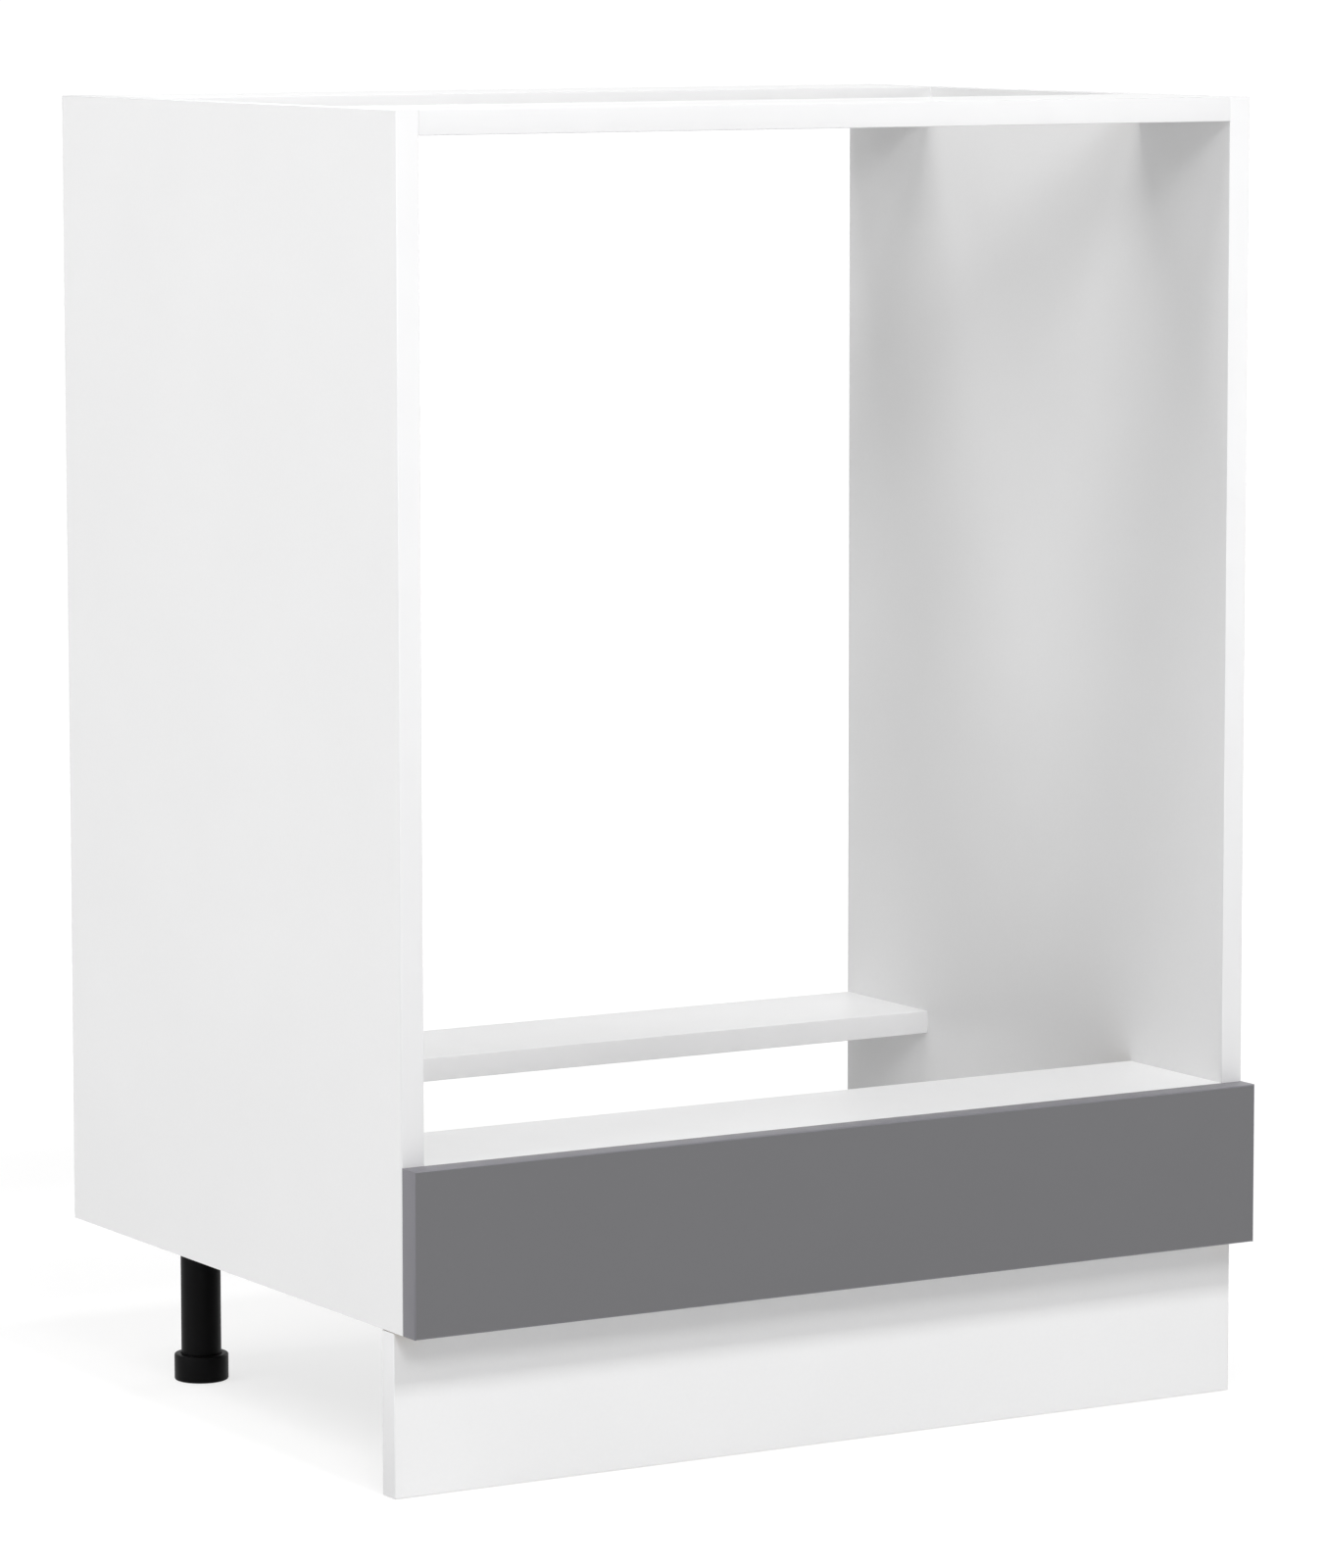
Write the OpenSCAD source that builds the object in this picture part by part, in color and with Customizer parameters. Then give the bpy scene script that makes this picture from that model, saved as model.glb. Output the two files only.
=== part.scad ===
// Oven base cabinet: an open carcass on four screw feet, with a low fascia board and a clip-on plinth.
// The origin is on the floor, midway between the sides and between the fascia's face and the rear edges.
// +X points to the right-hand side, +Y to the rear and +Z up.

/* [Carcass] */
// Width over the outer faces of the two sides
cabinet_w = 600; // [450:1:900]
// Height of the side panels
carcass_h = 716; // [600:1:820]
// Depth of the carcass from its front edges to its rear edges
carcass_d = 440; // [400:1:560]
// Thickness of the carcass boards
board_t = 15; // [14:0.5:22]
// Depth of each cross rail from front to rear
rail_d = 100; // [90:1:130]
// Height of the oven rails' top faces above the underside of the carcass
oven_rail_h = 100; // [80:1:160]
// Thickness of the glued edge bands
band_t = 0.8; // [0.4:0.1:2]

/* [Fascia and plinth] */
// Thickness of the fascia board
fascia_t = 15; // [13:0.5:22]
// Thickness of the plinth board
plinth_t = 15; // [13:0.5:22]
// How far the plinth's face stands behind the front edges of the carcass
plinth_setback = 11; // [2:0.5:22]
// Gap above the plinth and below it
plinth_gap = 0.5; // [0.3:0.1:3]

/* [Board joints] */
// Diameter of a cam lock's bore
cam_d = 15; // [12:0.5:16]
// Depth of a cam lock's bore
cam_depth = 12; // [11:0.25:12.5]
// Distance from a board's end to the centre of its cam lock
cam_reach = 24; // [20:0.5:34]
// Diameter of the bore that a cam bolt passes through
bolt_bore_d = 8; // [7:0.5:9]
// Diameter of a cam bolt's threaded hole in the side panel
bolt_hole_d = 5; // [4:0.5:6]
// Depth of a cam bolt's threaded hole in the side panel
bolt_hole_depth = 11; // [9:0.5:12]
// Diameter of a dowel bore
dowel_d = 8; // [6:0.5:8]
// Depth of a dowel bore in the side panel
dowel_side = 10.5; // [9:0.5:12]
// Depth of a dowel bore in the end of a cross board
dowel_end = 20.5; // [18:0.5:28]
// Distance from a cam bolt to the dowel beside it
dowel_pitch = 32; // [25:1:36]
// Radial clearance of cams, bolts, dowels and screws in their bores
seat_clear = 0.1; // [0.05:0.01:0.15]

/* [Worktop screw holes] */
// Distance between the left and right worktop screw holes
worktop_hole_x = 400; // [240:1:460]
// Diameter of a worktop screw hole
worktop_hole_d = 5; // [4:0.5:7]

/* [Screws and brackets] */
// Diameter of a wood screw's shank
screw_d = 3.8; // [3:0.1:4.2]
// Length of a wood screw
screw_l = 12; // [10:0.5:14]
// Diameter of a wood screw's countersunk head
screw_head_d = 7.4; // [6.5:0.1:8]
// Length of a fascia bracket's legs
bracket_leg = 25; // [20:0.5:32]
// Width of a fascia bracket
bracket_w = 20; // [14:0.5:30]
// Thickness of a fascia bracket
bracket_t = 2; // [1.5:0.1:3]
// Distance of the two lower fascia brackets from the middle of the cabinet
bracket_x = 150; // [60:1:200]

/* [Feet] */
// Height of the underside of the carcass above the floor
leg_h = 100; // [90:1:150]
// Distance from a side's outer face to the centre of a foot
leg_inset_x = 58; // [50:0.5:90]
// Distance from the carcass's front or rear edges to the centre of a foot
leg_inset_y = 63; // [54:0.5:100]
// Outer diameter of a leg tube
tube_d = 25.5; // [23:0.5:28]
// Outer diameter of a foot pad
pad_d = 34.5; // [32:0.5:40]
// Height of a foot pad
pad_h = 17; // [14:0.5:24]
// Thickness of a foot pad's base
pad_floor = 5; // [3:0.5:6]
// Outer diameter of a foot's thread
spindle_d = 16; // [12:0.5:17]
// Pitch of a foot's thread
thread_pitch = 4; // [3:0.5:5]
// Depth of a foot's thread
thread_depth = 1; // [0.6:0.1:1.4]
// Length of thread left in the tube when a foot is screwed right out
thread_grip = 35; // [28:1:40]
// How far a foot can be screwed in from its rest place
foot_rise = 5; // [3:0.5:6]
// How far a foot can be screwed out from its rest place
foot_drop = 20; // [10:1:24]
// Radial clearance of the thread in its tube, and of the tube in its socket
run_clear = 0.1; // [0.05:0.01:0.1]

/* [Leg sockets] */
// Width of a leg socket's square flange
socket_w = 60; // [54:0.5:70]
// Thickness of a leg socket's flange
socket_t = 3; // [2.5:0.1:4]
// Corner radius of a leg socket's flange
socket_corner = 6; // [4:0.5:8]
// Distance between the screw holes of a leg socket
socket_hole_pitch = 44; // [41:0.5:46]
// Height of a leg socket's collar
collar_h = 13; // [11:0.5:14]
// Wall of a leg socket's collar
collar_wall = 3; // [2.5:0.1:3.5]
// Thickness of a leg socket's ribs
rib_t = 2; // [1.5:0.1:3]

/* [Plinth clips] */
// Width of a clip plate
clip_plate_w = 48; // [44:0.5:60]
// Thickness of a clip plate
clip_plate_t = 3; // [2.5:0.1:4]
// Height of the channel that a clip slides in
clip_channel_h = 24; // [20:0.5:28]
// Wall and lip thickness of the channel
clip_lip = 2; // [1.5:0.1:2.5]
// Width of a clip's base
clip_base_w = 20; // [14:0.5:22]
// Thickness of a clip's base
clip_base_t = 3; // [2:0.1:4]
// Height of a clip's ring
clip_h = 16; // [10:0.5:18]
// Wall of a clip's ring
clip_wall = 2.6; // [2:0.1:3]
// Half of the angle that a clip's ring is open
clip_open = 50; // [40:1:70]
// Clearance between a clip and the tube that it grips
clip_clear = 0.3; // [0.2:0.05:0.4]

/* [Hidden] */
$fn = 64;

// How far a cutter runs past the face that it opens
past = 1;

// Planes of the carcass
side_x = cabinet_w / 2;
inner_x = side_x - board_t;
front_y = (fascia_t - carcass_d) / 2;
rear_y = front_y + carcass_d;
base_z = leg_h;
top_z = base_z + carcass_h;
oven_z = base_z + oven_rail_h;

// Front edges of the two rows of rails, and their middles
front_rail_y = front_y;
rear_rail_y = rear_y - rail_d;
front_mid_y = front_rail_y + rail_d / 2;
rear_mid_y = rear_rail_y + rail_d / 2;

// Undersides of the cross boards
top_rail_z = top_z - board_t;
oven_rail_z = oven_z - board_t;

// Places of the feet
leg_x = side_x - leg_inset_x;
front_leg_y = front_y + leg_inset_y;
rear_leg_y = rear_y - leg_inset_y;

// The bottom panel's cam locks clear the leg sockets by this much
cam_socket_gap = 20;
bottom_cam_inset = leg_inset_y + socket_w / 2 + cam_d / 2 + cam_socket_gap;
bottom_cam_y = [front_y + bottom_cam_inset, rear_y - bottom_cam_inset];
// Distance from the bottom panel's front and rear edges to its outer dowels
edge_dowel = 20;
bottom_dowel_y = [
    front_y + edge_dowel,
    bottom_cam_y[0] + dowel_pitch,
    bottom_cam_y[1] - dowel_pitch,
    rear_y - edge_dowel
];

// Each cross board as its underside, its cam places and its dowel places along Y
CROSS_BOARDS = [
    [base_z, bottom_cam_y, bottom_dowel_y],
    [top_rail_z, [front_mid_y], [front_mid_y - dowel_pitch, front_mid_y + dowel_pitch]],
    [top_rail_z, [rear_mid_y], [rear_mid_y - dowel_pitch, rear_mid_y + dowel_pitch]],
    [oven_rail_z, [front_mid_y], [front_mid_y - dowel_pitch, front_mid_y + dowel_pitch]],
    [oven_rail_z, [rear_mid_y], [rear_mid_y - dowel_pitch, rear_mid_y + dowel_pitch]]
];
BOTTOM = CROSS_BOARDS[0];
TOP_FRONT = CROSS_BOARDS[1];
TOP_REAR = CROSS_BOARDS[2];
OVEN_FRONT = CROSS_BOARDS[3];
OVEN_REAR = CROSS_BOARDS[4];

// Cam bolt: how far its collar and its shaft stand inside the bore, and the steps of its neck and head
bolt_collar_inset = 0.4;
bolt_shaft_inset = 1.2;
bolt_neck_step = 0.8;
bolt_head_step = 0.4;
bolt_collar_r = bolt_bore_d / 2 - bolt_collar_inset;
bolt_shaft_r = bolt_bore_d / 2 - bolt_shaft_inset;
bolt_neck_r = bolt_shaft_r - bolt_neck_step;
bolt_head_r = bolt_shaft_r + bolt_head_step;
bolt_collar_t = 1.5;
bolt_head_half = 1.8;
bolt_neck_spare = 0.5;
bolt_tip_chamfer = 1;

// Cam lock: its pocket for the bolt and its driver slots
cam_pocket_clear = 0.3;
cam_slot_half = cam_d / 4;
cam_slot_w = 1.6;
cam_slot_depth = 2;

// Dowels: the chamfer of their ends, and the air left at the bottom of a blind bore
dowel_chamfer = 1;
bore_spare = 0.5;

// Wood screws
screw_r = screw_d / 2;
screw_head_r = screw_head_d / 2;
screw_rim = 0.4;
screw_head_h = screw_head_r - screw_r + screw_rim;
screw_slot_w = 0.9;
screw_slot_depth = 1.2;
screw_tip = 1.5;
screw_point_r = 0.5;

// Leg tube, its snap bead and the foot in it
tube_r = tube_d / 2;
socket_under = base_z - socket_t;
tube_foot_clear = 0.5;
tube_end_z = pad_floor + foot_rise + tube_foot_clear;
tube_chamfer = 0.5;
bead_out = 0.7;
bead_h = 2;
// Share of the collar's height that is above the snap bead
bead_share = 0.45;
bead_z = socket_under - bead_share * collar_h;
pad_chamfer = 1;
pad_recess_clear = 0.4;
pad_recess_r = tube_r + pad_recess_clear;
spindle_chamfer = 1;
spindle_l = thread_grip + foot_rise + foot_drop;
// Plain stretches of the spindle below its thread and above it
thread_lead = 2;
thread_start = pad_floor + thread_lead;
thread_turns = floor((spindle_l - 2 * thread_lead) / thread_pitch);
// Thread profile, as shares of the pitch: where the crest ends and the root starts and ends
crest_end = 0.3;
root_start = 0.5;
root_end = 0.8;

// Leg socket: how far its ribs stop short of the flange's edge and of the collar's foot
rib_inset = 2;
// How far a rib runs into the collar's wall
rib_bite = 2;

// Distance from a fascia bracket's corner to its screw holes
bracket_hole = 0.6 * bracket_leg;

// Plinth and the run from its back to the axis of a front leg
plinth_y = front_y + plinth_setback;
plinth_back_y = plinth_y + plinth_t;
plinth_h = leg_h - 2 * plinth_gap;
clip_z = leg_h / 2;
clip_run = front_leg_y - plinth_back_y;
clip_slide_clear = 0.2;
clip_neck_w = 8;
// Rolled lips of a clip, as shares of its wall: how far out they stand, and their diameter
clip_lip_out = 0.8;
clip_lip_round = 1.4;
clip_screw_x = (clip_plate_w / 2 + clip_base_w / 2) / 2;

WHITE = [0.93, 0.93, 0.93];
GREY = [0.46, 0.46, 0.47];
BLACK = [0.05, 0.05, 0.05];
ZINC = [0.68, 0.69, 0.7];
BEECH = [0.78, 0.62, 0.42];

// A box between two opposite corners
module slab(low, high) {
    translate(low) cube(high - low);
}

// A cylinder that lies along +X from the local origin
module bar_x(d, l) {
    rotate([0, 90, 0]) cylinder(d = d, h = l);
}

// Repeats its children at the ends of a cross board: the local origin is where the board's middle
// plane meets the side panel, and local +X points into the side. Side 0 is the right, 1 the left.
module at_ends(board, places, sides = [0, 1]) {
    for (side = sides)
        mirror([side, 0, 0])
            for (y = places)
                translate([inner_x, y, board[0] + board_t / 2]) children();
}

// Bores in both ends of a cross board
module end_bores(board) {
    at_ends(board, board[1]) {
        translate([-cam_reach, 0, -board_t / 2 - past]) cylinder(d = cam_d, h = cam_depth + past);
        translate([-cam_reach, 0, 0]) bar_x(bolt_bore_d, cam_reach + past);
    }
    at_ends(board, board[2])
        translate([-dowel_end, 0, 0]) bar_x(dowel_d, dowel_end + past);
}

// Bores in a side panel's inner face for every cross board
module side_bores(side) {
    for (board = CROSS_BOARDS) {
        at_ends(board, board[1], [side])
            translate([-past, 0, 0]) bar_x(bolt_hole_d, bolt_hole_depth + past);
        at_ends(board, board[2], [side])
            translate([-past, 0, 0]) bar_x(dowel_d, dowel_side + past);
    }
}

// A cross board between the sides, from its front edge to its rear edge
module cross_board(board, y0, y1) {
    difference() {
        slab([-inner_x, y0, board[0]], [inner_x, y1, board[0] + board_t]);
        end_bores(board);
    }
}

// A strip of edge band along a cross board's front edge
module cross_band(board, y0) {
    color(WHITE) slab([-inner_x, y0, board[0]], [inner_x, y0 + band_t, board[0] + board_t]);
}

// Countersunk wood screw: the head's face is at z = 0 and the point is below it
module wood_screw() {
    difference() {
        rotate_extrude() polygon([
            [0, 0], [screw_head_r, 0], [screw_head_r, -screw_rim], [screw_r, -screw_head_h],
            [screw_r, -screw_l + screw_tip], [screw_point_r, -screw_l], [0, -screw_l]
        ]);
        for (a = [0, 90])
            rotate([0, 0, a])
                slab([-screw_r, -screw_slot_w / 2, -screw_slot_depth], [screw_r, screw_slot_w / 2, past]);
    }
}

// The hole that a wood screw needs, with the head's face at z = 0
module screw_hole() {
    depth = screw_l + bore_spare;
    translate([0, 0, -depth]) cylinder(r = screw_r + seat_clear, h = depth + past);
    rotate_extrude() polygon([
        [0, past], [screw_head_r + seat_clear, past], [screw_head_r + seat_clear, -screw_rim - seat_clear],
        [screw_r + seat_clear, -screw_head_h - seat_clear], [0, -screw_head_h - seat_clear]
    ]);
}

// The same hole in the board under a plate, where z = 0 is the board's face
module pilot_hole(plate_t) translate([0, 0, plate_t]) screw_hole();

module side_panel(side) {
    color(WHITE) difference() {
        mirror([side, 0, 0])
            slab([inner_x, front_y + band_t, base_z], [side_x, rear_y, top_z - band_t]);
        side_bores(side);
        at_side_bracket(side) bracket_pilot_seat();
    }
}

// Edge bands of a side panel: one down its front edge and one along its top edge
module side_bands(side) {
    color(WHITE) mirror([side, 0, 0]) {
        slab([inner_x, front_y, base_z], [side_x, front_y + band_t, top_z]);
        slab([inner_x, front_y + band_t, top_z - band_t], [side_x, rear_y, top_z]);
    }
}

module side_panel_left() side_panel(1);
module side_panel_right() side_panel(0);
module side_bands_left() side_bands(1);
module side_bands_right() side_bands(0);

// Floor of the carcass, which carries the leg sockets
module bottom_panel() {
    color(WHITE) difference() {
        cross_board(BOTTOM, front_y, rear_y);
        for (sx = [-1, 1], sy = [-1, 1])
            at_leg(sx, sy) at_socket_screws() rotate([180, 0, 0]) pilot_hole(socket_t);
        for (sx = [-1, 1]) at_low_bracket(sx) bracket_pilot_seat();
    }
}

// Screw holes through a top rail for the worktop
module worktop_holes(y) {
    for (sx = [-1, 1])
        translate([sx * worktop_hole_x / 2, y, top_rail_z - past])
            cylinder(d = worktop_hole_d, h = board_t + 2 * past);
}

module top_front_rail() {
    color(WHITE) difference() {
        cross_board(TOP_FRONT, front_rail_y + band_t, front_rail_y + rail_d);
        worktop_holes(front_mid_y);
    }
}

module top_rear_rail() {
    color(WHITE) difference() {
        cross_board(TOP_REAR, rear_rail_y + band_t, rear_y);
        worktop_holes(rear_mid_y);
    }
}

module front_oven_rail() color(WHITE) cross_board(OVEN_FRONT, front_rail_y, front_rail_y + rail_d);
module rear_oven_rail() color(WHITE) cross_board(OVEN_REAR, rear_rail_y + band_t, rear_y);

module top_front_rail_band() cross_band(TOP_FRONT, front_rail_y);
module top_rear_rail_band() cross_band(TOP_REAR, rear_rail_y);
module rear_oven_rail_band() cross_band(OVEN_REAR, rear_rail_y);

// Grey board in front of the carcass, from its underside to the top of the oven rails
module fascia_panel() {
    color(GREY) difference() {
        slab(
            [-side_x + band_t, front_y - fascia_t, base_z + band_t],
            [side_x - band_t, front_y, oven_z - band_t]
        );
        for (side = [0, 1]) at_side_bracket(side) bracket_pilot_face();
        for (sx = [-1, 1]) at_low_bracket(sx) bracket_pilot_face();
    }
}

// Edge bands round the fascia: two end strips, and the top and bottom strips between them
module fascia_bands() {
    color(GREY) {
        for (sx = [-1, 1])
            translate([sx * (side_x - band_t / 2) - band_t / 2, front_y - fascia_t, base_z])
                cube([band_t, fascia_t, oven_rail_h]);
        for (z = [base_z, oven_z - band_t])
            slab([-side_x + band_t, front_y - fascia_t, z], [side_x - band_t, front_y, z + band_t]);
    }
}

// Board that closes the space under the carcass
module plinth_panel() {
    color(WHITE) difference() {
        slab(
            [-side_x + band_t, plinth_y, plinth_gap],
            [side_x - band_t, plinth_back_y, plinth_gap + plinth_h]
        );
        for (sx = [-1, 1]) at_clip(sx) at_clip_screws() pilot_hole(clip_plate_t);
    }
}

// Edge bands on the two ends of the plinth
module plinth_bands() {
    color(WHITE)
        for (sx = [-1, 1])
            translate([sx * (side_x - band_t / 2) - band_t / 2, plinth_y, plinth_gap])
                cube([band_t, plinth_t, plinth_h]);
}

// Cam lock: a disc with a pocket that hooks behind the bolt's head, and a cross slot for the driver
module cam_lock() {
    mid = board_t / 2;
    difference() {
        translate([0, 0, -mid]) cylinder(r = cam_d / 2 - seat_clear, h = cam_depth);
        translate([-bolt_head_half - cam_pocket_clear, 0, 0])
            bar_x(2 * (bolt_head_r + cam_pocket_clear), 2 * (bolt_head_half + cam_pocket_clear));
        bar_x(2 * (bolt_neck_r + cam_pocket_clear), cam_d);
        for (a = [0, 90])
            rotate([0, 0, a])
                slab(
                    [-cam_slot_half, -cam_slot_w / 2, -mid - past],
                    [cam_slot_half, cam_slot_w / 2, -mid + cam_slot_depth]
                );
    }
}

module cam_locks() {
    color(ZINC)
        for (board = CROSS_BOARDS)
            at_ends(board, board[1]) translate([-cam_reach, 0, 0]) cam_lock();
}

// Cam bolt: thread in the side panel, then collar, shaft, neck and head along the cross board
module cam_bolt() {
    thread_r = bolt_hole_d / 2 - seat_clear;
    thread_l = bolt_hole_depth - bore_spare;
    head_end = -cam_reach - bolt_head_half;
    head_start = -cam_reach + bolt_head_half;
    neck_end = -cam_reach + cam_d / 2 + bolt_neck_spare;
    rotate([0, 90, 0]) rotate_extrude() polygon([
        [0, head_end], [bolt_head_r, head_end], [bolt_head_r, head_start], [bolt_neck_r, head_start],
        [bolt_neck_r, neck_end], [bolt_shaft_r, neck_end], [bolt_shaft_r, -bolt_collar_t],
        [bolt_collar_r, -bolt_collar_t], [bolt_collar_r, 0], [thread_r, 0],
        [thread_r, thread_l - bolt_tip_chamfer], [thread_r - bolt_tip_chamfer, thread_l], [0, thread_l]
    ]);
}

module cam_bolts() {
    color(ZINC)
        for (board = CROSS_BOARDS) at_ends(board, board[1]) cam_bolt();
}

// Wooden dowel with chamfered ends, half in the side panel and half in the cross board
module dowel() {
    r = dowel_d / 2 - seat_clear;
    start = -dowel_end + bore_spare;
    end = dowel_side - bore_spare;
    rotate([0, 90, 0]) rotate_extrude() polygon([
        [0, start], [r - dowel_chamfer, start], [r, start + dowel_chamfer],
        [r, end - dowel_chamfer], [r - dowel_chamfer, end], [0, end]
    ]);
}

module dowels() {
    color(BEECH)
        for (board = CROSS_BOARDS) at_ends(board, board[2]) dowel();
}

// Puts its children on the axis of a foot, with z = 0 on the floor
module at_leg(sx, sy) {
    translate([sx * leg_x, sy < 0 ? front_leg_y : rear_leg_y, 0]) children();
}

// Puts its children at the four screw places of a leg socket, on its top face
module at_socket_screws() {
    for (x = [-1, 1], y = [-1, 1])
        translate([x * socket_hole_pitch / 2, y * socket_hole_pitch / 2, base_z]) children();
}

// A square plate with round corners, built from true arcs
module round_plate(w, r, t) {
    linear_extrude(t) {
        square([w - 2 * r, w], center = true);
        square([w, w - 2 * r], center = true);
        for (x = [-1, 1], y = [-1, 1])
            translate([x * (w / 2 - r), y * (w / 2 - r)]) circle(r = r);
    }
}

// Leg socket: flange under the bottom panel and a collar that the leg tube snaps into
module leg_socket(sx, sy) {
    collar_r = tube_r + run_clear + collar_wall;
    rib_start = collar_r - rib_bite;
    rib_end = socket_w / 2 - rib_inset;
    rib_low = rib_inset - collar_h;
    color(BLACK) at_leg(sx, sy) difference() {
        union() {
            translate([0, 0, socket_under]) round_plate(socket_w, socket_corner, socket_t);
            translate([0, 0, socket_under - collar_h]) cylinder(r = collar_r, h = collar_h + socket_t / 2);
            for (a = [0 : 90 : 270])
                rotate([0, 0, a])
                    translate([0, rib_t / 2, socket_under])
                        rotate([90, 0, 0])
                            linear_extrude(rib_t)
                                polygon([[rib_start, socket_t / 2], [rib_end, socket_t / 2], [rib_end, 0],
                                    [collar_r, rib_low], [rib_start, rib_low]]);
        }
        rotate_extrude() polygon([
            [0, socket_under - collar_h - past],
            [tube_r + run_clear, socket_under - collar_h - past],
            [tube_r + run_clear, bead_z - bead_h],
            [tube_r + bead_out + run_clear, bead_z - bead_h / 2 - run_clear],
            [tube_r + bead_out + run_clear, bead_z + bead_h / 2 + run_clear],
            [tube_r + run_clear, bead_z + bead_h],
            [tube_r + run_clear, socket_under],
            [0, socket_under]
        ]);
        at_socket_screws() translate([0, 0, -socket_t]) rotate([180, 0, 0]) screw_hole();
    }
}

module leg_socket_front_left() leg_socket(-1, -1);
module leg_socket_front_right() leg_socket(1, -1);
module leg_socket_rear_left() leg_socket(-1, 1);
module leg_socket_rear_right() leg_socket(1, 1);

module leg_socket_screws() {
    color(ZINC)
        for (sx = [-1, 1], sy = [-1, 1])
            at_leg(sx, sy) at_socket_screws() translate([0, 0, -socket_t]) rotate([180, 0, 0]) wood_screw();
}

// Leg tube: threaded inside, with a snap bead near its top; it turns in its socket
module leg_tube(sx, sy) {
    bore_r = spindle_d / 2 + run_clear;
    color(BLACK) at_leg(sx, sy) rotate_extrude() polygon([
        [bore_r, tube_end_z], [tube_r - tube_chamfer, tube_end_z], [tube_r, tube_end_z + tube_chamfer],
        [tube_r, bead_z - bead_h / 2 - bead_out], [tube_r + bead_out, bead_z - bead_h / 2],
        [tube_r + bead_out, bead_z + bead_h / 2], [tube_r, bead_z + bead_h / 2 + bead_out],
        [tube_r, socket_under], [bore_r, socket_under]
    ]);
}

module leg_tube_front_left() leg_tube(-1, -1);
module leg_tube_front_right() leg_tube(1, -1);
module leg_tube_rear_left() leg_tube(-1, 1);
module leg_tube_rear_right() leg_tube(1, 1);

// Screw foot: a cupped pad moulded in one with the threaded spindle that runs up the tube.
// The thread is drawn as closed rings at its pitch.
module screw_foot(sx, sy) {
    pad_r = pad_d / 2;
    crest_r = spindle_d / 2;
    root_r = crest_r - thread_depth;
    spindle_top = pad_floor + spindle_l;
    profile = [[crest_r, 0], [crest_r, crest_end], [root_r, root_start], [root_r, root_end]];
    rings = [
        for (i = [0 : thread_turns - 1], p = profile) [p[0], thread_start + (i + p[1]) * thread_pitch]
    ];
    color(BLACK) at_leg(sx, sy) rotate_extrude() polygon(concat(
        [
            [0, 0], [pad_r - pad_chamfer, 0], [pad_r, pad_chamfer], [pad_r, pad_h - pad_chamfer],
            [pad_r - pad_chamfer, pad_h], [pad_recess_r, pad_h], [pad_recess_r, pad_floor],
            [root_r, pad_floor], [root_r, thread_start - (1 - root_end) * thread_pitch]
        ],
        rings,
        [[root_r, spindle_top - spindle_chamfer], [root_r - spindle_chamfer, spindle_top], [0, spindle_top]]
    ));
}

module screw_foot_front_left() screw_foot(-1, -1);
module screw_foot_front_right() screw_foot(1, -1);
module screw_foot_rear_left() screw_foot(-1, 1);
module screw_foot_rear_right() screw_foot(1, 1);

// A fascia bracket's local frame: one leg lies on the plane z = 0 and runs along +Y,
// the other lies on the back of the fascia, the plane y = 0, and runs along +Z.
module at_low_bracket(sx) {
    translate([sx * bracket_x, front_y, base_z + board_t]) children();
}

module at_side_bracket(side) {
    mirror([side, 0, 0])
        translate([inner_x, front_y, (base_z + oven_z) / 2]) rotate([0, -90, 0]) children();
}

module bracket_screw_places() {
    translate([0, bracket_hole, bracket_t]) children();
    translate([0, bracket_t, bracket_hole]) rotate([-90, 0, 0]) children();
}

// Pilot hole in the board that a bracket sits on
module bracket_pilot_seat() translate([0, bracket_hole, 0]) pilot_hole(bracket_t);

// Pilot hole in the back of the fascia
module bracket_pilot_face() translate([0, 0, bracket_hole]) rotate([-90, 0, 0]) pilot_hole(bracket_t);

module fascia_bracket() {
    difference() {
        union() {
            slab([-bracket_w / 2, 0, 0], [bracket_w / 2, bracket_leg, bracket_t]);
            slab([-bracket_w / 2, 0, 0], [bracket_w / 2, bracket_t, bracket_leg]);
        }
        bracket_screw_places() screw_hole();
    }
}

module fascia_bracket_left() color(ZINC) at_side_bracket(1) fascia_bracket();
module fascia_bracket_right() color(ZINC) at_side_bracket(0) fascia_bracket();
module fascia_bracket_low_left() color(ZINC) at_low_bracket(-1) fascia_bracket();
module fascia_bracket_low_right() color(ZINC) at_low_bracket(1) fascia_bracket();

module fascia_bracket_screws() {
    color(ZINC) {
        for (side = [0, 1]) at_side_bracket(side) bracket_screw_places() wood_screw();
        for (sx = [-1, 1]) at_low_bracket(sx) bracket_screw_places() wood_screw();
    }
}

// A clip plate's local frame: the plinth's back is the plane z = 0, local +Z points to the rear
// and local +Y points up
module at_clip(sx) {
    translate([sx * leg_x, plinth_back_y, clip_z]) rotate([90, 0, 180]) children();
}

module at_clip_screws() {
    for (x = [-1, 1]) translate([x * clip_screw_x, 0, 0]) children();
}

// Clip plate: screwed to the plinth's back, with a lipped channel that the clip slides along
module clip_plate(sx) {
    half_w = clip_plate_w / 2;
    half_h = clip_channel_h / 2;
    lip_z = clip_plate_t + clip_base_t + clip_slide_clear;
    color(BLACK) at_clip(sx) difference() {
        union() {
            slab([-half_w, -half_h - clip_lip, 0], [half_w, half_h + clip_lip, clip_plate_t]);
            for (m = [0, 1])
                mirror([0, m, 0]) {
                    slab([-half_w, half_h, 0], [half_w, half_h + clip_lip, lip_z + clip_lip]);
                    slab([-half_w, half_h - clip_lip, lip_z], [half_w, half_h + clip_lip, lip_z + clip_lip]);
                }
        }
        at_clip_screws() translate([0, 0, clip_plate_t]) screw_hole();
    }
}

module clip_plate_left() clip_plate(-1);
module clip_plate_right() clip_plate(1);

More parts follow.
